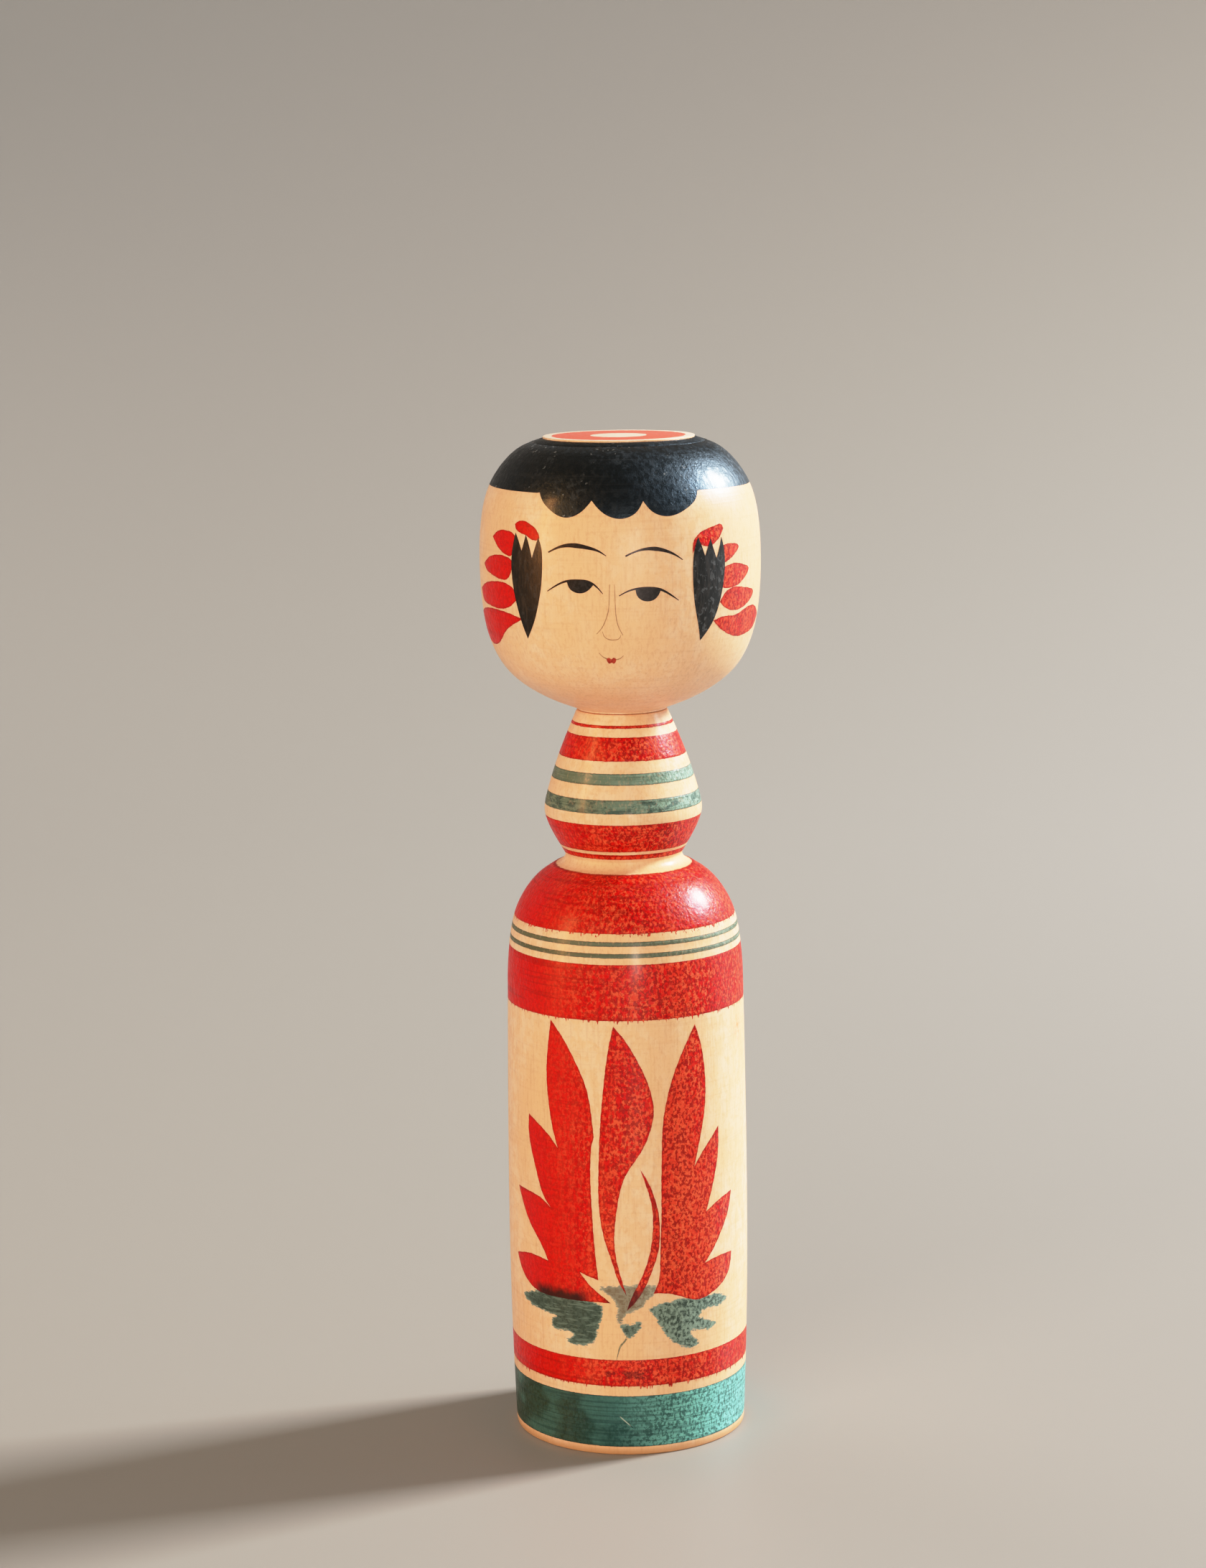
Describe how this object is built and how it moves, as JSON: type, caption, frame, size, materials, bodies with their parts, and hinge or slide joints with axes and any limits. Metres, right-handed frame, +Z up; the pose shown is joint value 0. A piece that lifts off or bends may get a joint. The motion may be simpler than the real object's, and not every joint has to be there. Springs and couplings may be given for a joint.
{
  "type": "kokeshi doll",
  "caption": "Lathe-turned wooden kokeshi doll with a banded body, a painted flower and a head that turns on its tenon.",
  "frame": {"origin": "centre of the foot, on the surface that the doll stands on", "axes": "+Z up along the lathe axis, the face looks along -Y, +X to the viewer's right"},
  "size_m": [0.0668, 0.0668, 0.2428],
  "materials": {
    "bare_wood": "satin",
    "red_dye": "satin",
    "green_dye": "satin",
    "black_ink": "satin"
  },
  "bodies": {
    "body": {"body": "bare_wood"},
    "head": {"head": "bare_wood"}
  },
  "joints": [
    {"name": "head_turn", "type": "hinge", "parent": "body", "child": "head", "pos_m": [0, 0, 0.1774], "axis": [0, 0, 1], "continuous": true}
  ]
}
